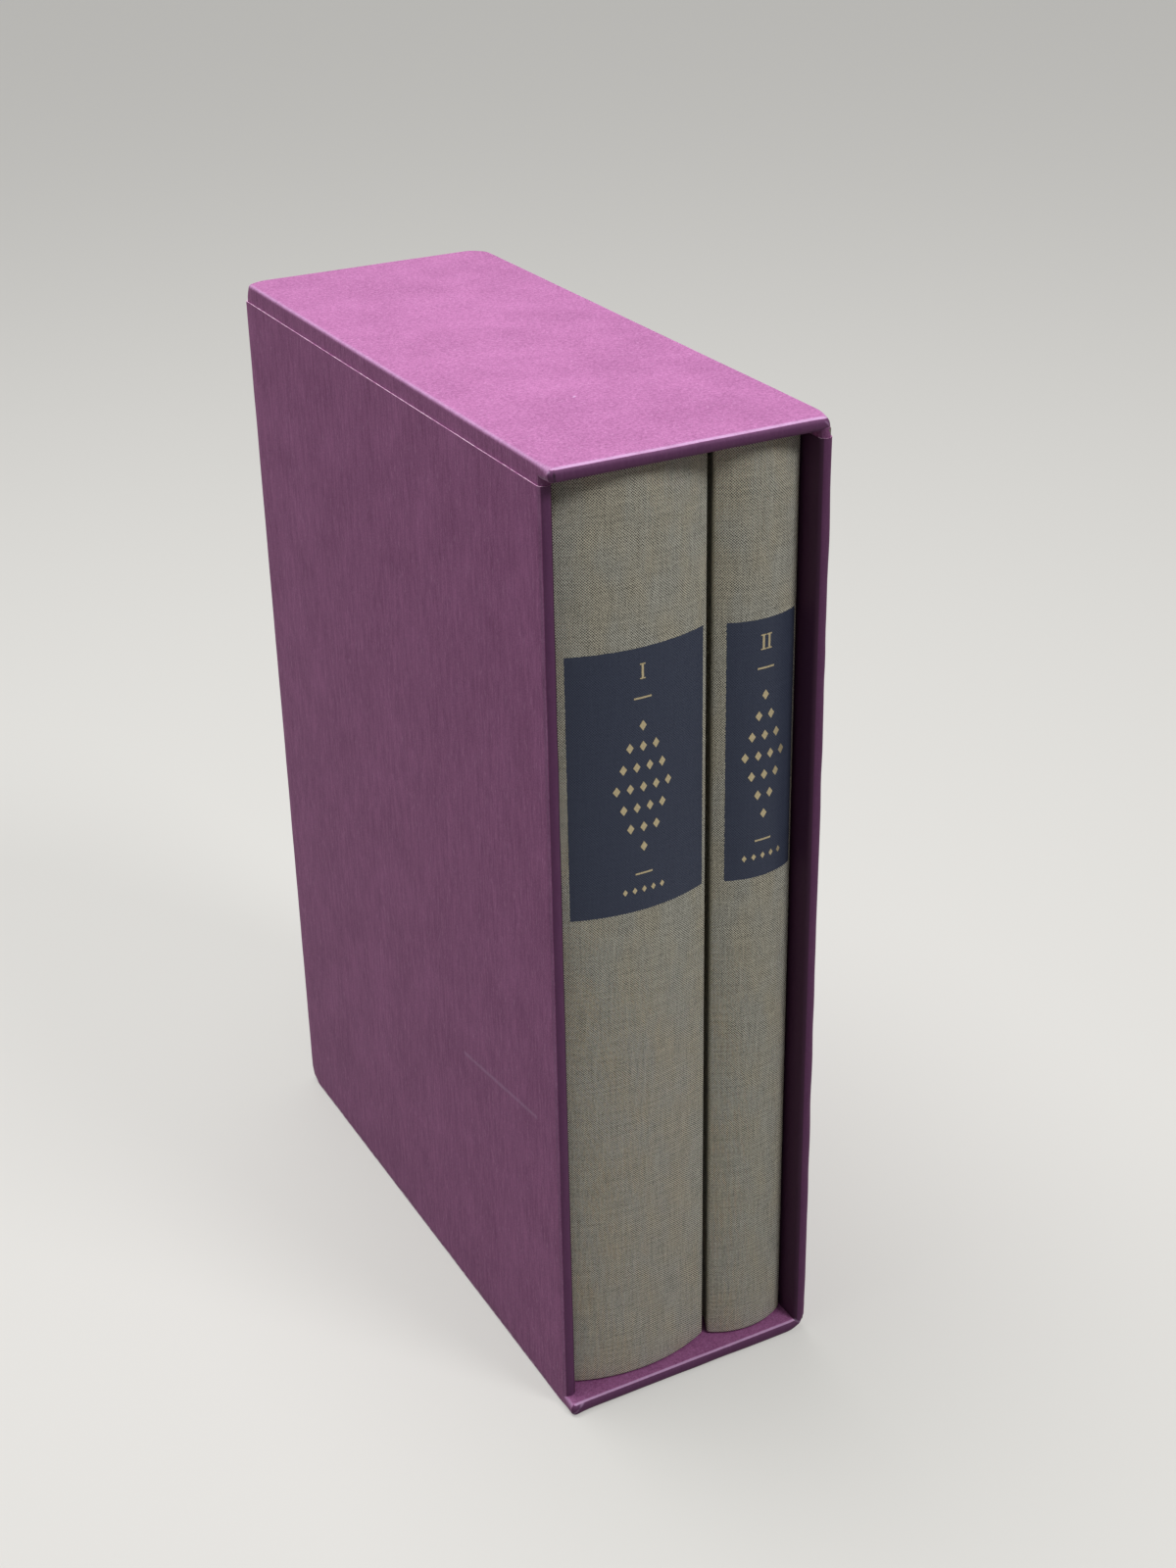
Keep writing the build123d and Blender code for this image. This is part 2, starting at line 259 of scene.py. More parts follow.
def corePaper():
    # The pale inside of the paper, seen where it is cut
    shader = Shader("paperCutEdge", Roughness=0.8)
    fibre = shader.ramp(shader.cloud(shader.place(), 2.4, 4.0, 0.7), (0.4, 0.0), (0.62, 1.0))
    shader.set("Base Color", shader.blend(fibre, paperLook["plum"], paperLook["core"]))
    return shader.material


def liningPaper():
    shader = Shader("liningPaper", Roughness=0.7)
    place = shader.place()
    mottle = 0.5 * shader.cloud(place, 14, 3.0) + 0.5 * shader.cloud(place, 0.8, 2.0)
    tone = shader.ramp(mottle, (0.3, 0.0), (0.7, 1.0))
    shader.set("Base Color", shader.blend(tone, paperLook["deepLining"], paperLook["lining"]))
    shader.bump(mottle, 0.25, 0.1)
    return shader.material


# Book cloth: plain weave, laid by the distance round the cover and up it
clothLook = {
    "pitch": 0.62,  # of the weave
    "sway": 5,  # width of the patches in which the threads wander together
    "slub": 0.7,
    "speck": 0.5,
    "drift": 7,  # of the patches of bluer and browner yarn
    "light": colour(236, 231, 212),
    "tan": colour(206, 194, 164),
    "blue": colour(184, 192, 192),
    "gap": colour(84, 82, 76),  # painted shade between the threads
    "foil": colour(74, 81, 100),
    # Painted shade between the threads of the label
    "foilGap": colour(50, 56, 76),
}


def bookCloth(name, label):
    # The label is a panel of foil between two distances round the cover and two heights
    shader = Shader(name, **{"Specular IOR Level": 0.25})
    lay = shader.attribute("lay", "Vector")
    around = shader.axis(lay, "X") / mm
    up = shader.axis(lay, "Y") / mm
    turn = 2 * math.pi / clothLook["pitch"]
    sway = 0.5 * shader.cloud(lay, clothLook["sway"], 2.0)
    warp = ((around + sway) * turn).sine()
    weft = ((up + sway) * turn).sine()
    knots = 0.5 + 0.5 * warp * weft
    warpSlub = shader.cloud(shader.stretched(lay, (1.0, 0.06, 1.0)), clothLook["slub"], 2.0, 0.7)
    weftSlub = shader.cloud(shader.stretched(lay, (0.06, 1.0, 1.0)), clothLook["slub"], 2.0, 0.7)
    speck = shader.cloud(lay, clothLook["speck"], 3.0, 0.85)
    height = 0.44 * knots + 0.14 * warpSlub + 0.14 * weftSlub + 0.42 * speck
    drift = shader.cloud(shader.stretched(lay, (1.0, 0.4, 1.0)), clothLook["drift"], 3.0)
    tint = shader.ramp(drift, (0.4, 0.0), (0.62, 1.0))
    yarn = shader.blend(tint, clothLook["blue"], clothLook["tan"])
    yarn = shader.blend(0.72, yarn, clothLook["light"])
    # Raised threads take the yarn colour, and shade is painted into the low places between them
    lit = shader.ramp(height, (0.48, 0.0), (0.61, 1.0))
    cloth = shader.blend(lit, clothLook["gap"], yarn)
    paleMask = shader.attribute("wear", "Fac").clamp() * shader.cloud(lay, 3, 2.0)
    cloth = shader.blend(0.5 * paleMask, cloth, clothLook["light"])
    fray = 0.4 * (shader.cloud(lay, 0.55, 1.0) - 0.5)
    inPanel = 1.0
    for value, (least, most) in ((around, label["around"]), (up, label["up"])):
        inPanel = (value + fray > least) * (value + fray < most) * inPanel
    # The same painted shade between the threads of the label
    foil = shader.blend(lit, clothLook["foilGap"], clothLook["foil"])
    shader.set("Base Color", shader.blend(inPanel, cloth, foil))
    shader.set("Roughness", 0.88 - 0.34 * inPanel)
    shader.bump(height * (1 - 0.7 * inPanel), 0.8, 0.22)
    return shader.material


# Boards, leaves, card and gauze: darker and lighter shade
innerLook = {
    "greyboard": (colour(126, 120, 110), colour(168, 162, 150)),
    "leafEdges": (colour(176, 166, 144), colour(218, 211, 192)),
    "endpaper": (colour(204, 196, 176), colour(226, 220, 204)),
    "kraftPaper": (colour(150, 118, 82), colour(178, 146, 106)),
    "manilaCard": (colour(186, 166, 120), colour(208, 190, 148)),
    "gauze": (colour(196, 184, 152), colour(236, 230, 212)),
    "gauzePitch": 1.4,  # of the net
}


def greyboard():
    shader = Shader("greyboard", Roughness=0.85)
    flecks = shader.ramp(shader.cloud(shader.place(), 1.2, 4.0, 0.7), (0.4, 0.0), (0.66, 1.0))
    shader.set("Base Color", shader.blend(flecks, *innerLook["greyboard"]))
    shader.bump(flecks, 0.3, 0.15)
    return shader.material


def pagePaper():
    # Leaf edges: fine lines that run with the leaves
    shader = Shader("leafEdges", Roughness=0.75)
    place = shader.place()
    leaves = shader.cloud(shader.stretched(place, (1.0, 0.02, 0.004)), 0.22, 2.0, 0.8)
    wide = shader.cloud(shader.stretched(place, (1.0, 0.02, 0.02)), 2.0, 2.0)
    tone = shader.ramp(0.7 * leaves + 0.3 * wide, (0.3, 0.0), (0.66, 1.0))
    shader.set("Base Color", shader.blend(tone, *innerLook["leafEdges"]))
    shader.bump(leaves, 0.5, 0.12)
    return shader.material


def plainPaper(name):
    shader = Shader(name, Roughness=0.8)
    place = shader.place()
    grain = shader.cloud(place, 0.8, 3.0, 0.7)
    tone = shader.ramp(0.5 * grain + 0.5 * shader.cloud(place, 18, 2.0), (0.35, 0.0), (0.65, 1.0))
    shader.set("Base Color", shader.blend(tone, *innerLook[name]))
    shader.bump(grain, 0.25, 0.08)
    return shader.material


def gauze():
    shader = Shader("gauze", Roughness=0.9)
    place = shader.place()
    turn = 2 * math.pi / innerLook["gauzePitch"]
    across, up = (((shader.axis(place, name) / mm) * turn).sine() for name in "YZ")
    strands = shader.ramp(across.larger(up), (0.55, 0.0), (0.8, 1.0))
    shader.set("Base Color", shader.blend(strands, *innerLook["gauze"]))
    shader.bump(strands, 0.6, 0.2)
    return shader.material


# Mesh work
growing = (0.0, 0.7, 1.5, 2.5, 3.6)  # places behind a rounded end, further and further apart
bendStep = 0.3  # longest step round a bend


def steps(start, stop, step, soft=0.0):
    # Places from start to stop; with soft, close together within that distance of each end
    if not soft:
        count = max(1, round((stop - start) / step))
        return [start + (stop - start) * i / count for i in range(count + 1)]
    roomy = stop - start > 4 * soft + 10
    ends = [soft * (1 - math.cos(math.radians(angle))) for angle in range(0, 90, 15)]
    ends += [soft + reach for reach in growing[:-1] if roomy]
    margin = soft + (growing[-1] if roomy else 0.0)
    inner = steps(start + margin, stop - margin, step)
    return [start + e for e in ends] + inner + [stop - e for e in reversed(ends)]


def angles(count):
    # A quarter turn
    return [math.pi / 2 * i / count for i in range(count + 1)]


def newMesh():
    bm = bmesh.new()
    bm.verts.layers.float.new("wear")
    bm.verts.layers.float_vector.new("lay")
    return bm


def addGrid(bm, points, closed=False):
    # Quads over rows of (place, wear, (around, up))
    wear = bm.verts.layers.float["wear"]
    lay = bm.verts.layers.float_vector["lay"]
    rows = []
    for row in points:
        made = []
        for place, wearAndLightTone, (around, up) in row:
            vert = bm.verts.new(Vector(place) * mm)
            vert[wear] = wearAndLightTone
            vert[lay] = Vector((around, up, 0)) * mm
            made.append(vert)
        rows.append(made)
    for lower, upper in zip(rows, rows[1:]):
        count = len(lower)
        for j in range(count if closed else count - 1):
            k = (j + 1) % count
            bm.faces.new((lower[j], lower[k], upper[k], upper[j]))


def finishMesh(bm, name, materials, thickness=0.0, sharp=40):
    # The last material is for the rim that the thickness makes, and sharp is in degrees
    bmesh.ops.remove_doubles(bm, verts=bm.verts, dist=0.004 * mm)
    bmesh.ops.dissolve_degenerate(bm, edges=bm.edges, dist=0.001 * mm)
    loose = [v for v in bm.verts if not v.link_faces]
    bmesh.ops.delete(bm, geom=loose, context="VERTS")
    bmesh.ops.recalc_face_normals(bm, faces=bm.faces)
    mesh = bpy.data.meshes.new(name)
    bm.to_mesh(mesh)
    bm.free()
    piece = bpy.data.objects.new(name, mesh)
    bpy.context.scene.collection.objects.link(piece)
    for material in materials:
        mesh.materials.append(material)
    if thickness:
        shell = piece.modifiers.new("thickness", "SOLIDIFY")
        shell.thickness = thickness * mm
        shell.offset = -1
        shell.material_offset_rim = len(materials) - 1
        applyModifiers(piece)
    for polygon in piece.data.polygons:
        polygon.use_smooth = True
    piece.data.set_sharp_from_angle(angle=math.radians(sharp))
    return piece


def applyModifiers(piece):
    evaluated = piece.evaluated_get(bpy.context.evaluated_depsgraph_get())
    mesh = bpy.data.meshes.new_from_object(evaluated)
    piece.modifiers.clear()
    piece.data = mesh


def dress(piece, body, slot, *replaced):
    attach(piece, body)
    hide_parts(*replaced)


def roundedPath(corners, step):
    # Points along a line of (x, y, radius) corners, as (x, y, outward x, outward y, rounded), where
    # rounded is 0 on the straight runs and 1 at the middle of a bend
    bends = []
    for i, (x, y, radius) in enumerate(corners):
        here = Vector((x, y))
        if i in (0, len(corners) - 1) or not radius:
            bends.append((here, here, None, 0))
            continue
        before = (Vector(corners[i - 1][:2]) - here).normalized()
        after = (Vector(corners[i + 1][:2]) - here).normalized()
        half = before.angle(after) / 2
        reach = radius / math.tan(half)
        centre = here + (before + after).normalized() * radius / math.sin(half)
        bends.append((here + before * reach, here + after * reach, centre, radius))
    points = []
    for i, (start, stop, centre, radius) in enumerate(bends):
        last = bends[i - 1][1]
        run = start - last
        if i and run.length > 1e-6:
            normal = Vector((run.y, -run.x)).normalized()
            shares = steps(0, 1, step / run.length)
            if i > 1 and not bends[i - 1][3]:
                shares = shares[1:]  # the run before ends there
            for share in shares:
                spot = last + run * share
                points.append((spot.x, spot.y, normal.x, normal.y, 0.0))
        if radius:
            first = start - centre
            sweep = first.angle_signed(stop - centre)
            count = max(6, math.ceil(abs(sweep) * radius / bendStep))
            for j in range(1, count):
                spoke = Matrix.Rotation(-sweep * j / count, 2) @ first
                outward = spoke.normalized() * (-1 if sweep > 0 else 1)
                rounded = math.sin(math.pi * j / count)
                points.append((*(centre + spoke), outward.x, outward.y, rounded))
    return points


# The case: shape of its edges, and how the paper is worn there
caseShape = {
    "paper": 0.3,  # room for one covering
    "sheet": 0.26,  # its drawn thickness
    "arris": 0.9,  # radius of the outer edges
    "boardArris": 0.3,
    "turnIn": 16.0,  # depth of the coverings inside the mouth
    "lap": 15.0,  # depth of the top covering down the sides
    "underLap": 14.0,  # depth of the side covering under the bottom
    "change": (2.0, 7.0),  # behind the mouth, where an edge changes from fold to arris
    "collarDepth": 4.0,  # how far the lap runs back from its fold round the mouth edge of a side
    "collarBelow": 2.5,  # how far it starts below the top of the side covering
    "collarAbove": 0.8,  # and ends above the underside of the top
    "collarInset": 0.1,  # how far it stays behind the inside of the wall
    "baseInset": 0.05,  # the base covering's distance from the sides and from the back
    "baseBack": 3.0,
    "baseEnds": 4.0,  # how far its ends at the sides run behind the left mouth edge
    "waver": 0.05,  # how far the folded edges wander
    "mouthWaver": 0.11,
    "waverSize": 9.0,
    "rubReach": 6.0,  # how far round a corner the rubbing goes
    "grid": 3.0,  # points of the coverings lie this far apart on the flat
}
# Tones of the side covering: above 0 where it is rubbed and sheen is painted on it, below 0 where shade is
# painted on it
sideTones = {"turnInShade": -2.0, "mouth": -1.0, "mouthArris": 0.45, "arris": 0.8}
# Tones of the other coverings at the mouth, by how far they face up: (faces up more than, tone). A tone
# above 0 paints a highlight along the arris, one below 0 paints shade
mouthTones = {
    "upper": ((0.93, 0.3), (0.75, 1.4), (-2.0, -1.0)),
    "lower": ((0.93, -0.4), (0.8, 2.4), (-2.0, -1.3)),
    "floor": (0.9, -0.3),  # painted shade on the floor inside the mouth
}

low, high = extent(*[name for name in nodes if name.startswith("slipcase")])
middle = [(a + b) / 2 for a, b in zip(low, high)]
paper = caseShape["paper"]
turnIn = caseShape["turnIn"]
grid = caseShape["grid"]
wall = extent("slipcase_left_lining")[1][0] - low[0]
leftMouth = extent("slipcase_left_board")[0][1] - paper
coverTop = extent("slipcase_side_cover")[1][2]
foldRadius = wall / 2 - 0.05  # a little under half, which leaves a narrow flat between two folds
foldStep = foldRadius + 0.1  # points are close together within this of an edge

rubbedCorners = [  # corner, how far it is pushed in
    ((high[0], low[1], high[2]), 0.9),
    ((high[0], low[1], low[2]), 1.7),
    ((low[0], low[1], low[2]), -0.7),  # pulled out to a point
    ((low[0], high[1], high[2]), 1.2),
    ((high[0], high[1], high[2]), 1.4),
    ((low[0], high[1], low[2]), 0.8),
    ((high[0], high[1], low[2]), 0.8),
]


def waver(place):
    # How far a folded edge wanders here
    amount = caseShape["mouthWaver"] if place[1] < low[1] + 2 else caseShape["waver"]
    return amount * noise.noise(Vector(place) / caseShape["waverSize"])


def rubbedCorner(place):
    # A place on the case, pushed towards its middle near the rubbed corners
    place = Vector(place)
    for corner, depth in rubbedCorners:
        near = max(0.0, 1 - (place - Vector(corner)).length / caseShape["rubReach"])
        if near:
            inward = Vector([1 if a < b else -1 for a, b in zip(corner, middle)]).normalized()
            place = place + inward * depth * near * near
            if depth < 0:
                place = Vector([min(max(part, a), b) for part, a, b in zip(place, low, high)])
    return place


def sideTone(x, y, rounded):
    # Rubbed, with painted sheen, on the outer folds, painted shade round the mouth and deeper painted shade
    # where it is turned in
    if y < 0 and abs(x) < high[0] - wall + 0.8:
        return sideTones["turnInShade"]
    mouth = leftMouth if x < 0 else low[1]
    if y > mouth + 3:
        return sideTones["arris"] * rounded
    outside = abs(x) > high[0] - 0.55
    return sideTones["mouthArris"] * rounded if outside else sideTones["mouth"]


def roundMouth(x, y):
    # True for the folds round the mouth, and for what is turned in at the right
    if x < 0 and y < 0:
        return y < leftMouth + foldRadius
    return y < low[1] + foldRadius or (y < 0 and x < high[0] - wall + 0.1)


def sideCovering():
    # One sheet round the left side, the back and the right side, folded round both mouth edges and
    # under the bottom
    inLeft, inRight = low[0] + wall, high[0] - wall
    radius = caseShape["arris"]
    path = roundedPath([
        (inRight, low[1] + turnIn, 0),
        (inRight, low[1], foldRadius),
        (high[0], low[1], foldRadius),
        (high[0], high[1], radius),
        (low[0], high[1], radius),
        (low[0], leftMouth, foldRadius),
        (inLeft, leftMouth, foldRadius),
        (inLeft, leftMouth + turnIn, 0),
    ], grid)
    bm = newMesh()
    rows = []
    for z in steps(paper + radius, coverTop, grid):
        row = []
        for x, y, nx, ny, rounded in path:
            out = waver((x, y, z)) * (0.4 + rounded)
            spot = rubbedCorner((x + nx * out, y + ny * out, z))
            row.append((spot, sideTone(x, y, rounded), (0, z)))
        rows.append(row)
    addGrid(bm, rows)
    outer = [point for point in path if not roundMouth(*point[:2])]
    insets = [(radius * (1 - math.cos(a)), radius * (1 - math.sin(a))) for a in angles(6)]
    insets += [(reach, 0.0) for reach in steps(radius + 2, caseShape["underLap"], grid)]
    rows = []
    for inset, rise in insets:
        # Rubbed, with painted sheen, round the arris under the bottom
        wearAndLightTone = 0.8 if 0 < inset < radius else 0.0
        row = []
        for x, y, nx, ny, rounded in outer:
            x = min(max(x - nx * inset, low[0] + inset), high[0] - inset)
            y = min(y - ny * inset, high[1] - inset)
            row.append((rubbedCorner((x, y, paper + rise)), wearAndLightTone, (0, rise)))
        rows.append(row)
    addGrid(bm, rows)
    return finishMesh(bm, "side_covering", [plum, cutEdge], caseShape["sheet"])


def boxTone(spot, outward, bend):
    # Tones of the other coverings: rubbed, with painted sheen, on the outer edges, and the painted
    # highlights and shade above round the mouth
    onTop = spot[2] > middle[2]
    if spot[1] < low[1] + 1.1:
        tones = mouthTones["upper" if onTop else "lower"]
        return next(tone for least, tone in tones if outward[2] > least)
    least, tone = mouthTones["floor"]
    if outward[2] > least and not onTop:
        return tone
    return min(1.0, 1.3 * bend)


def boxSide(bm, corners, axis, place, radiusAt, spans, openBelow=False):
    # One face of a rounded box, from a grid on the flat face pressed onto the rounded form
    (x0, y0, z0), (x1, y1, z1) = corners
    first, second = [i for i in range(3) if i != axis]
    rows = []
    for b in spans[second]:
        row = []
        for a in spans[first]:
            flat = [0.0, 0.0, 0.0]
            flat[axis] = place
            flat[first] = a
            flat[second] = b
            radius = radiusAt(flat)
            floor = -far if openBelow else z0 + radius
            core = Vector((
                min(max(flat[0], x0 + radius), x1 - radius),
                min(max(flat[1], y0 + radius), y1 - radius),
                min(max(flat[2], floor), z1 - radius),
            ))
            outward = (Vector(flat) - core).normalized()
            bend = sorted(abs(part) for part in outward)[1]
            spot = core + outward * (radius + waver(flat) * (0.3 + bend))
            row.append((rubbedCorner(spot), boxTone(spot, outward, bend), (0, 0)))
        rows.append(row)
    addGrid(bm, rows)


def mouthRadius(arris, power):
    # Radius of the edges of a covering: the arris behind, growing to that of the fold at the mouth
    near, distant = caseShape["change"]

    def radiusAt(spot):
        front = min(1.0, max(0.0, (low[1] + distant - spot[1]) / (distant - near)))
        return arris + (foldRadius - arris) * front**power

    return radiusAt


def topCovering():
    # Over the top, down the sides and the back, and round the mouth edge to the inside
    x0, x1 = low[0] + paper, high[0] - paper
    y0, y1 = low[1], high[1] - paper
    z0, z1 = high[2] - wall, high[2]
    slab = ((x0, y0, z0), (x1, y1, z1))
    endless = ((x0, y0, z0), (x1, far, z1))
    radiusAt = mouthRadius(caseShape["arris"], 2)
    across = steps(x0, x1, grid, foldStep)
    back = steps(y0, y1, grid, foldStep)
    edge = steps(z0, z1, 0.5, 1.2)
    lap = steps(high[2] - caseShape["lap"], z0, grid)[:-1] + edge
    behindMouth = [y for y in back if y > leftMouth + 1]
    beforeMouth = [y for y in back if y <= behindMouth[0]]
    turned = steps(y0, y0 + turnIn, 2.0, foldStep)
    bm = newMesh()
    boxSide(bm, slab, 2, z1, radiusAt, [across, back, edge])
    boxSide(bm, slab, 1, y0, radiusAt, [across, back, edge])
    for side in (x0, x1):
        boxSide(bm, slab, 0, side, radiusAt, [across, beforeMouth, edge], openBelow=side > 0)
        boxSide(bm, slab, 0, side, radiusAt, [across, behindMouth, lap], openBelow=True)
    boxSide(bm, slab, 1, y1, radiusAt, [across, back, lap], openBelow=True)
    boxSide(bm, endless, 2, z0, radiusAt, [across, turned, edge])
    for side, mouth in ((-1, leftMouth), (1, low[1])):
        collar(bm, side, mouth + paper / 2, z0)
    return finishMesh(bm, "top_covering", [plum, cutEdge], caseShape["sheet"])


def collar(bm, side, mouth, z0):
    # The lap where it goes round the mouth edge of a side, from behind the side covering up to the top
    outer = side * (high[0] - paper)
    inner = side * (high[0] - wall + caseShape["collarInset"])
    radius = abs(outer - inner) / 2 - 0.02
    end = mouth + caseShape["collarDepth"]
    corners = [(outer, end, 0), (outer, mouth, radius), (inner, mouth, radius), (inner, end, 0)]
    path = roundedPath(corners if side < 0 else corners[::-1], 1.0)
    rows = []
    for z in steps(coverTop - caseShape["collarBelow"], z0 + caseShape["collarAbove"], 0.6):
        row = []
        for x, y, nx, ny, rounded in path:
            # Painted shade where the lap goes round the mouth edge
            tone = -0.6 if y < mouth + 1.2 else 0.0
            row.append((rubbedCorner((x, y, z)), tone, (0, z)))
        rows.append(row)
    addGrid(bm, rows)


def baseCovering():
    # Under the bottom and round its mouth edge to the inside
    x0, x1 = low[0] + caseShape["baseInset"], high[0] - caseShape["baseInset"]
    y0, back = low[1], high[1] - caseShape["baseBack"]
    z0, z1 = low[2], low[2] + wall
    slab = ((x0, y0, z0), (x1, far, z1))
    radiusAt = mouthRadius(caseShape["boardArris"], 1)
    across = steps(x0, x1, grid, foldStep)
    turned = steps(y0, y0 + turnIn, grid / 2, foldStep)
    under = steps(y0, back, grid, foldStep)
    ends = [y for y in turned if y < leftMouth + caseShape["baseEnds"]]
    edge = steps(z0, z1, 0.5, 1.2)
    bm = newMesh()
    boxSide(bm, slab, 1, y0, radiusAt, [across, turned, edge])
    boxSide(bm, slab, 2, z1, radiusAt, [across, turned, edge])
    boxSide(bm, slab, 2, z0, radiusAt, [across, under, edge])
    for side in (x0, x1):
        boxSide(bm, slab, 0, side, radiusAt, [across, ends, edge])
    return finishMesh(bm, "base_covering", [plum, cutEdge], caseShape["sheet"])


def roundedBoard(name, corners):
    # A board of the case with its mouth edge rounded and its corners rubbed
    (x0, y0, z0), (x1, y1, z1) = corners
    mouthEdge = foldRadius - paper

    def radiusAt(spot):
        return mouthEdge if spot[1] < y0 + 3 else caseShape["boardArris"]

    spans = [
        steps(x0, x1, 6.0, mouthEdge + 0.1),
        steps(y0, y1, 6.0, mouthEdge + 0.1),
        steps(z0, z1, 0.7, 1.0),
    ]
    bm = newMesh()
    for axis in range(3):
        for corner in corners:
            boxSide(bm, corners, axis, corner[axis], radiusAt, spans)
    return finishMesh(bm, name, [grey])


plum = plumPaper()
cutEdge = corePaper()
grey = greyboard()
print("materials for the case made")

dress(sideCovering(), "slipcase", "plum_paper", "slipcase_side_cover")
dress(topCovering(), "slipcase", "plum_paper", "slipcase_top_cover")
dress(baseCovering(), "slipcase", "plum_paper", "slipcase_base_cover")
boardEdge = paper + 0.02
topCorners = (
    (low[0] + 2 * paper, low[1] + boardEdge, high[2] - wall + boardEdge),
    (high[0] - 2 * paper, high[1] - 2 * paper, high[2] - boardEdge),
)
bottomCorners = (
    (low[0] + boardEdge, low[1] + boardEdge, low[2] + boardEdge),
    (high[0] - boardEdge, high[1] - boardEdge, low[2] + wall - boardEdge),
)
for name, corners in (("top_board", topCorners), ("bottom_board", bottomCorners)):
    dress(roundedBoard(name, corners), "slipcase", "greyboard", f"slipcase_{name}")
print("coverings made")


# Volumes: cloth over the boards, the spine and the grooves that the boards hinge at
volumes = {
    "volume_1": {"spineRadius": 45.0, "label": {"around": (-17.4, 18.2), "up": (138.0, 203.0)}},
    "volume_2": {"spineRadius": 19.0, "label": {"around": (-8.6, 10.5), "up": (138.0, 203.0)}},
}
coverShape = {
    "shoulderEdge": 0.1,  # how far the spine is narrower than the boards, each side
    "shoulderRadius": 0.9,
    "shoulderGap": 1.2,  # the curve of the spine ends this far before the shoulder
    "grooveDepth": 2.6,
    "grooveNear": 9.3,  # these three are distances behind the crown of the spine
    "grooveFar": 10.7,
    "grooveEnd": 13.0,
    "grooveRadius": 0.6,
    "grooveEndRadius": 0.7,
    "boardFront": 13.5,
    "boardRamp": 2.0,  # over which the cover thickens to the board
    "boardDepth": 3.2,
    "spineCloth": 1.4,  # thickness of the cover on the spine and in the groove
    "grooveCloth": 0.4,
    "grooveStart": (3.5, 5.0),  # how near the side, and how far behind the crown, it turns thin
    "edgeRadius": 0.55,
    "skin": 0.18,
}


def coverPlan(half, spineRadius, crown, rear):
    # Plan of the outside of the cover, from one fore edge round the spine to the other
    c = coverShape
    edge = half - c["shoulderEdge"]
    shoulder = crown + spineRadius - math.sqrt(spineRadius**2 - edge**2)
    floor = half - c["grooveDepth"]
    right = [
        (edge, shoulder, c["shoulderRadius"]),
        (floor, crown + c["grooveNear"], c["grooveRadius"]),
        (floor, crown + c["grooveFar"], c["grooveRadius"]),
        (half, crown + c["grooveEnd"], c["grooveEndRadius"]),
        (half, rear, 0),
    ]
    left = [(-x, y, r) for x, y, r in reversed(right)]
    span = math.asin(edge / spineRadius) - c["shoulderGap"] / spineRadius
    arc = []
    for share in steps(-1, 1, 0.05)[1:-1]:
        angle = span * share
        arc.append((spineRadius * math.sin(angle), crown + spineRadius * (1 - math.cos(angle)), 0))
    return roundedPath(left + arc + right, 2.0)


def clothCover(name, settings):
    c = coverShape
    boxLow, boxHigh = extent(f"{name}_cover_cloth")
    centre = (boxLow[0] + boxHigh[0]) / 2
    half = (boxHigh[0] - boxLow[0]) / 2
    crown, rear = boxLow[1], boxHigh[1]
    z0, z1 = boxLow[2], boxHigh[2]
    radius = c["edgeRadius"]
    fromSide, fromCrown = c["grooveStart"]
    skin = []  # outer point, inner point, distance round the outside
    travel = 0.0
    last = None
    for x, y, nx, ny, rounded in coverPlan(half, settings["spineRadius"], crown, rear):
        if last:
            travel += math.hypot(x - last[0], y - last[1])
        last = (x, y)
        share = min(1.0, max(0.0, (y - crown - c["boardFront"]) / c["boardRamp"]))
        inGroove = abs(x) > half - fromSide and y > crown + fromCrown
        near = c["grooveCloth"] if inGroove else c["spineCloth"]
        deep = near + (c["boardDepth"] - near) * share * share
        skin.append(((x, y), (x - nx * deep, y - ny * deep), travel))

    def ringAt(z, pulled):
        # Outside and inside at one height, drawn together at the head and the tail
        up = 2 * (z - z0) / (z1 - z0) - 1
        outside, inside = [], []
        for (x, y), (ix, iy), distance in skin:
            gap = math.hypot(ix - x, iy - y)
            share = min(0.5, pulled * radius / gap)
            dx, dy = (ix - x) * share, (iy - y) * share
            around = distance - travel / 2
            outside.append(((centre + x + dx, y + dy, z), 0.8 * pulled, (around, z)))
            lay = (around * (1 + 2 * gap / travel), z + gap * up)
            inside.append(((centre + ix - dx, iy - dy, z), 0.5 * pulled, lay))
        return outside, inside

    bevel = [(radius * (1 - math.sin(a)), 1 - math.cos(a)) for a in angles(5)]
    profile = [(z, 0.0) for z in steps(z0 + radius, z1 - radius, 4.0)[1:-1]]
    profile += [(z0 + inset, pulled) for inset, pulled in bevel]
    profile += [(z1 - inset, pulled) for inset, pulled in bevel]
    rings = [ringAt(z, pulled) for z, pulled in sorted(profile)]
    bm = newMesh()
    addGrid(bm, [outside + inside[::-1] for outside, inside in rings], closed=True)
    addGrid(bm, rings[0])
    addGrid(bm, rings[-1])
    cloth = bookCloth(f"{name}_bookCloth", settings["label"])
    return finishMesh(bm, f"{name}_cloth", [cloth], c["skin"], sharp=50)


for name, settings in volumes.items():
    dress(clothCover(name, settings), name, "book_cloth", f"{name}_cover_cloth")
print("cloth covers made")


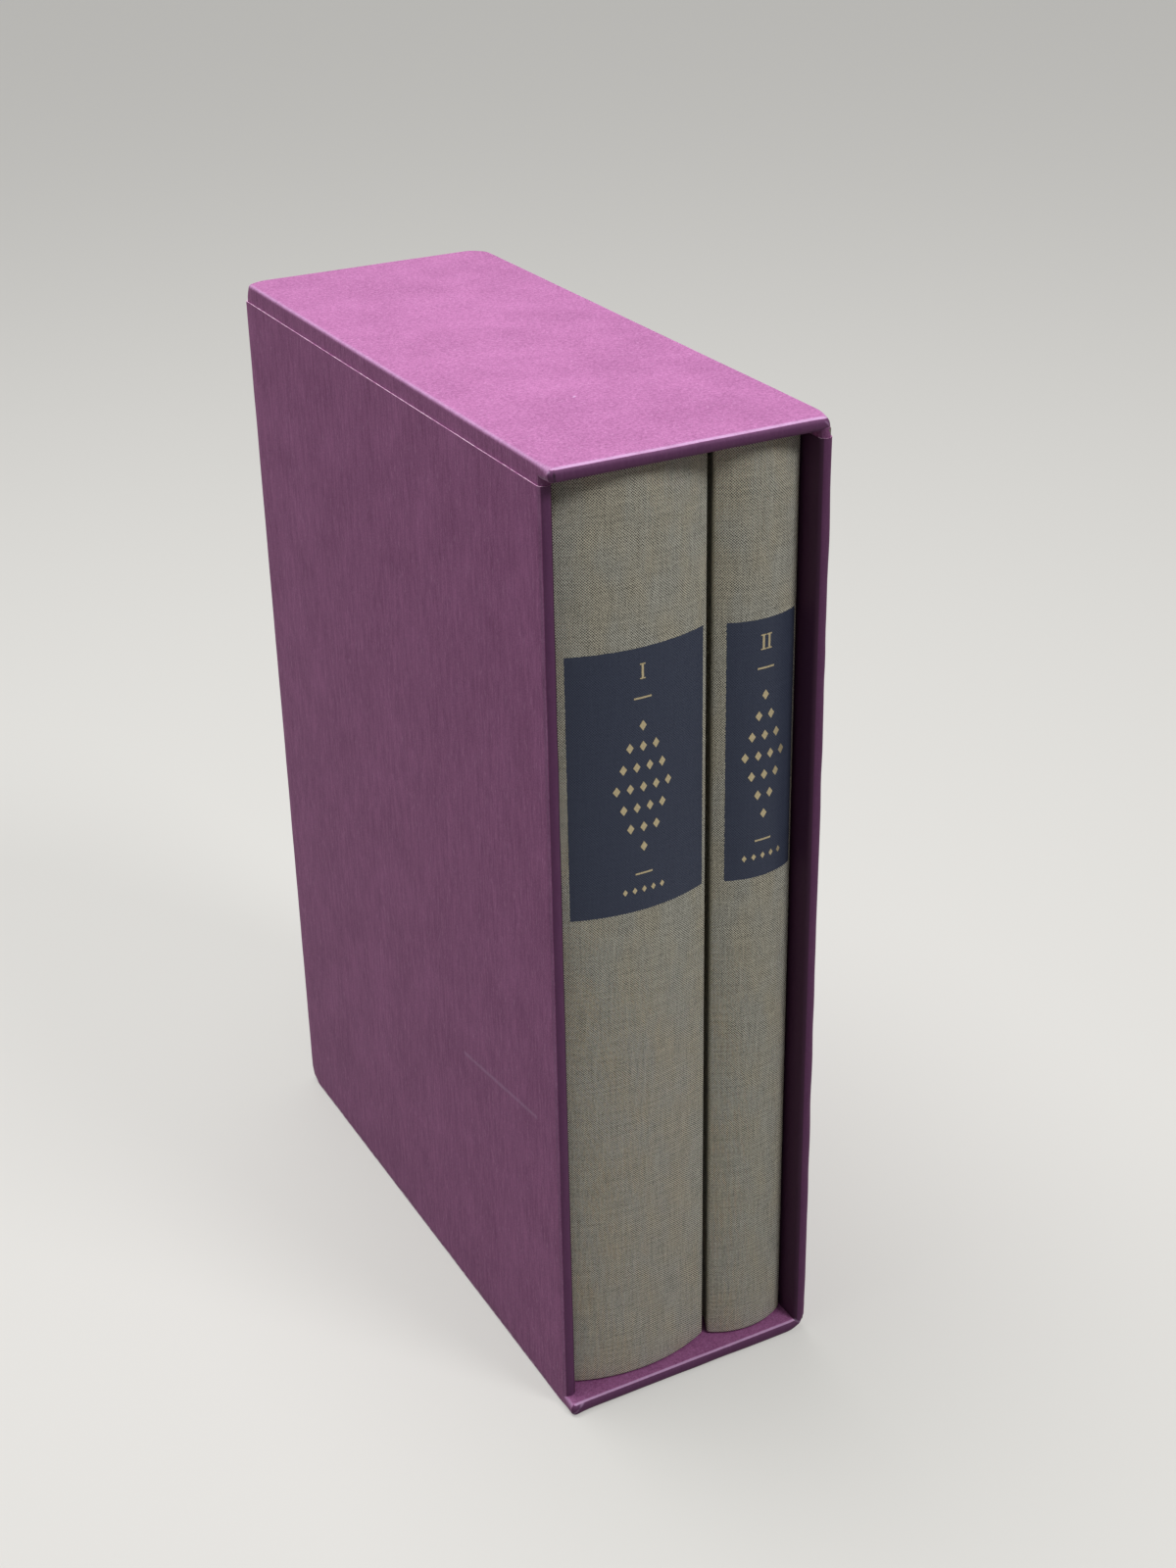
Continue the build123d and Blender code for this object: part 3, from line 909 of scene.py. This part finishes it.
# Gilt tooling on the labels: numeral, rules and lozenges, laid on the curve of the spine
tooling = {
    "numeral": {"up": 197.4, "tall": 3.4, "width": 0.55, "apart": 1.5, "serif": (1.35, 0.3)},
    "rules": {"up": (191.1, 147.6), "size": (4.4, 0.42)},
    "rows": (184.4, 179.4, 174.4, 169.4, 164.4, 159.4, 154.4),
    "counts": {"volume_1": (1, 3, 4, 5, 4, 3, 1), "volume_2": (1, 2, 3, 4, 3, 2, 1)},
    "lozenge": {"size": 1.25, "apart": 3.3},
    "foot": {"up": 143.4, "count": 5, "size": 0.85, "apart": 2.4},
    "height": 0.05,  # above the cloth, and as far into it
    "facet": 0.5,
    "dark": colour(176, 158, 118),
    "bright": colour(226, 212, 176),
}


def gilt():
    shader = Shader("gilt", Metallic=0.55)
    rub = shader.cloud(shader.place(), 0.5, 2.0)
    shader.set("Base Color", shader.blend(rub, tooling["dark"], tooling["bright"]))
    shader.set("Roughness", 0.35 + 0.25 * rub)
    shader.bump(rub, 0.3, 0.05)
    return shader.material


def spread(centre, count, apart):
    return [centre + (i - (count - 1) / 2) * apart for i in range(count)]


def bar(around, up, width, tall):
    # Columns of a straight tool: (around, lower end, upper end)
    count = max(1, math.ceil(width / tooling["facet"]))
    places = [around - width / 2 + width * i / count for i in range(count + 1)]
    return [(place, up - tall / 2, up + tall / 2) for place in places]


def lozenge(around, up, size):
    # Columns of a lozenge, which is narrower than it is tall
    columns = []
    for i in range(-2, 3):
        half = size * (1 - abs(i) / 2)
        columns.append((around + i * 0.36 * size, up - half, up + half))
    return columns


def labelTools(name, centre, strokes):
    # Everything tooled on one label, round the middle of its width
    numeral, rules, foot = tooling["numeral"], tooling["rules"], tooling["foot"]
    shapes = []
    for at in spread(centre, strokes, numeral["apart"]):
        shapes.append(bar(at, numeral["up"], numeral["width"], numeral["tall"]))
        for end in (-1, 1):
            shapes.append(bar(at, numeral["up"] + end * numeral["tall"] / 2, *numeral["serif"]))
    shapes += [bar(centre, up, *rules["size"]) for up in rules["up"]]
    for up, count in zip(tooling["rows"], tooling["counts"][name]):
        for at in spread(centre, count, tooling["lozenge"]["apart"]):
            shapes.append(lozenge(at, up, tooling["lozenge"]["size"]))
    for at in spread(centre, foot["count"], foot["apart"]):
        shapes.append(lozenge(at, foot["up"], foot["size"]))
    return shapes


def giltTooling(name, settings, strokes):
    boxLow, boxHigh = extent(f"{name}_cover_cloth")
    centre = (boxLow[0] + boxHigh[0]) / 2
    radius = settings["spineRadius"]
    lift = tooling["height"]
    bm = bmesh.new()

    def onSpine(around, up, out):
        angle = around / radius
        reach = radius + out
        place = (centre + reach * math.sin(angle), boxLow[1] + radius - reach * math.cos(angle), up)
        return bm.verts.new(Vector(place) * mm)

    for columns in labelTools(name, sum(settings["label"]["around"]) / 2, strokes):
        rings = []
        for around, lower, upper in columns:
            ends = ((lower, -lift), (upper, -lift), (upper, lift), (lower, lift))
            rings.append([onSpine(around, up, out) for up, out in ends])
        for first, second in zip(rings, rings[1:]):
            for i in range(4):
                j = (i + 1) % 4
                bm.faces.new((first[i], first[j], second[j], second[i]))
        bm.faces.new(rings[0])
        bm.faces.new(rings[-1][::-1])
    return finishMesh(bm, f"{name}_gilt", [gold])


gold = gilt()
for strokes, (name, settings) in enumerate(volumes.items(), start=1):
    piece = giltTooling(name, settings, strokes)
    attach(piece, name)
print("gilt made")


# Silk bands at the head and the tail, wound with thread and bent round the back of the leaves
bandLook = {
    "inset": (0.9, 0.1, 0.15),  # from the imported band, at its ends, in front, and above and below
    "radius": 0.85,
    "bow": 2.6,  # how far the ends lie behind the middle
    "thread": 0.6,  # width of one turn of the thread
    "ridge": 0.07,
    "rings": 96,
    "sides": 12,
    "stripe": 2.4,
    "navy": colour(60, 66, 92),
    "cream": colour(222, 214, 190),
    "shade": colour(120, 118, 110),
}


def silkBand():
    shader = Shader("silkBand", Roughness=0.45)
    lay = shader.attribute("lay", "Vector")
    stripes = ((shader.axis(lay, "X") / mm) * (2 * math.pi / bandLook["stripe"])).sine() > 0
    thread = shader.cloud(shader.stretched(lay, (1.0, 0.1, 1.0)), 0.3, 1.0)
    body = shader.blend(stripes, bandLook["navy"], bandLook["cream"])
    shader.set("Base Color", shader.blend(0.35 * thread, body, bandLook["shade"]))
    shader.bump(thread, 0.4, 0.1)
    return shader.material


def silk(name, end):
    boxLow, boxHigh = extent(f"{name}_{end}")
    centre, up = [(boxLow[i] + boxHigh[i]) / 2 for i in (0, 2)]
    inset, frontInset, upInset = bandLook["inset"]
    half = (boxHigh[0] - boxLow[0]) / 2 - inset
    tall = (boxHigh[2] - boxLow[2]) / 2 - upInset
    front = boxLow[1] + bandLook["radius"] + frontInset
    sides = bandLook["sides"]
    rows = []
    for share in steps(-1, 1, 2 / bandLook["rings"]):
        along = half * share
        y = front + bandLook["bow"] * share * share
        wound = 1 + bandLook["ridge"] * abs(math.sin(along * math.pi / bandLook["thread"]))
        row = []
        for j in range(sides):
            a = 2 * math.pi * j / sides
            out = bandLook["radius"] * wound * math.cos(a)
            row.append(((centre + along, y + out, up + tall * wound * math.sin(a)), 0.0, (along, a)))
        rows.append(row)
    bm = newMesh()
    addGrid(bm, rows, closed=True)
    return finishMesh(bm, f"{name}_silk_{end}", [bandSilk], sharp=60)


bandSilk = silkBand()
for name in volumes:
    for end in ("headband", "tailband"):
        dress(silk(name, end), name, "band_silk", f"{name}_{end}")
print("bands made")


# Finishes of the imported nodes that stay: the longest ending that fits a node's name is used
finishes = {
    "board": grey,
    "lining": liningPaper(),
    "text_block": pagePaper(),
    "endpaper": plainPaper("endpaper"),
    "mull": gauze(),
    "spine_lining": plainPaper("kraftPaper"),
    "stiffener": plainPaper("manilaCard"),
}
for name, piece in nodes.items():
    endings = [ending for ending in finishes if name.endswith(ending)]
    if endings:
        piece.data.materials.clear()
        piece.data.materials.append(finishes[max(endings, key=len)])
print("packed nodes finished")


# Floor, lights and camera, in metres
studio = {
    "floor": colour(158, 157, 154),
    "glow": colour(166, 165, 162),  # what a camera sees of the floor even far from the lamps
    "underfoot": colour(118, 116, 110),  # what the floor throws back onto the object
    "floorSize": 6.0,
    "floorDrop": 0.0002,
    "backdrop": (0.5, 0.495, 0.48, 1),
    "world": 0.15,
    "aim": (0, 0, 0.11),
    "key": {"place": (-0.12, 0.15, 1.1), "size": 0.7, "power": 10.5},
    "fill": {"place": (0.42, -0.95, 1.3), "size": 0.45, "power": 9.0},
}


def makeFloor():
    shader = Shader("floor", Roughness=0.9)
    kinds = ("Camera", "Glossy", "Transmission")
    camera, glossy, through = [shader.node("ShaderNodeLightPath", output=f"Is {kind} Ray") for kind in kinds]
    seen = camera.larger(glossy).larger(through)
    shader.set("Base Color", shader.blend(seen, studio["underfoot"], studio["floor"]))
    shader.set("Emission Color", shader.blend(seen, (0, 0, 0, 1), studio["glow"]))
    shader.set("Emission Strength", 1.0)
    bm = bmesh.new()
    bmesh.ops.create_grid(bm, x_segments=4, y_segments=4, size=studio["floorSize"])
    mesh = bpy.data.meshes.new("floor")
    bm.to_mesh(mesh)
    bm.free()
    mesh.materials.append(shader.material)
    floor = bpy.data.objects.new("floor", mesh)
    floor.location.z = -studio["floorDrop"]
    bpy.context.scene.collection.objects.link(floor)


def makeWorld():
    # Soft light from all round, which a camera or a reflection sees as the backdrop
    world = bpy.data.worlds.new("studio")
    bpy.context.scene.world = world
    world.use_nodes = True
    tree = world.node_tree
    tree.nodes.clear()
    rays = tree.nodes.new("ShaderNodeLightPath")
    seen = tree.nodes.new("ShaderNodeMath")
    seen.operation = "MAXIMUM"
    soft = tree.nodes.new("ShaderNodeBackground")
    soft.inputs["Color"].default_value = (1, 1, 1, 1)
    soft.inputs["Strength"].default_value = studio["world"]
    shown = tree.nodes.new("ShaderNodeBackground")
    shown.inputs["Color"].default_value = studio["backdrop"]
    mix = tree.nodes.new("ShaderNodeMixShader")
    out = tree.nodes.new("ShaderNodeOutputWorld")
    for source, target in (
        (rays.outputs["Is Camera Ray"], seen.inputs[0]),
        (rays.outputs["Is Glossy Ray"], seen.inputs[1]),
        (seen.outputs[0], mix.inputs[0]),
        (soft.outputs[0], mix.inputs[1]),
        (shown.outputs[0], mix.inputs[2]),
        (mix.outputs[0], out.inputs[0]),
    ):
        tree.links.new(source, target)


def areaLight(name, place, size, power):
    data = bpy.data.lights.new(name, "AREA")
    data.shape = "DISK"
    data.size = size
    data.energy = power
    lamp = bpy.data.objects.new(name, data)
    lamp.location = place
    aim = Vector(studio["aim"]) - Vector(place)
    lamp.rotation_euler = aim.to_track_quat("-Z", "Y").to_euler()
    bpy.context.scene.collection.objects.link(lamp)


photoView = {
    "eye": (-229.95, -473.12, 398.63),  # in millimetres, as the case is
    "turn": 27.70,  # these three are in degrees
    "down": 27.03,
    "roll": -1.14,
    "focal": 2318.2,  # in pixels of the longer side
    "longSide": 1600,
    "sensor": 36,
}


def makeCamera():
    data = bpy.data.cameras.new("camera")
    data.sensor_width = photoView["sensor"]
    data.lens = photoView["focal"] * photoView["sensor"] / photoView["longSide"]
    camera = bpy.data.objects.new("camera", data)
    turn = Matrix.Rotation(math.radians(-photoView["turn"]), 4, "Z")
    tilt = Matrix.Rotation(math.radians(90 - photoView["down"]), 4, "X")
    roll = Matrix.Rotation(math.radians(photoView["roll"]), 4, "Z")
    camera.matrix_world = Matrix.Translation(Vector(photoView["eye"]) * mm) @ turn @ tilt @ roll
    bpy.context.scene.collection.objects.link(camera)
    bpy.context.scene.camera = camera


makeFloor()
makeWorld()
for name in ("key", "fill"):
    areaLight(name, **studio[name])
makeCamera()
bpy.context.scene.view_settings.view_transform = "Standard"
print("floor, lights and camera made")
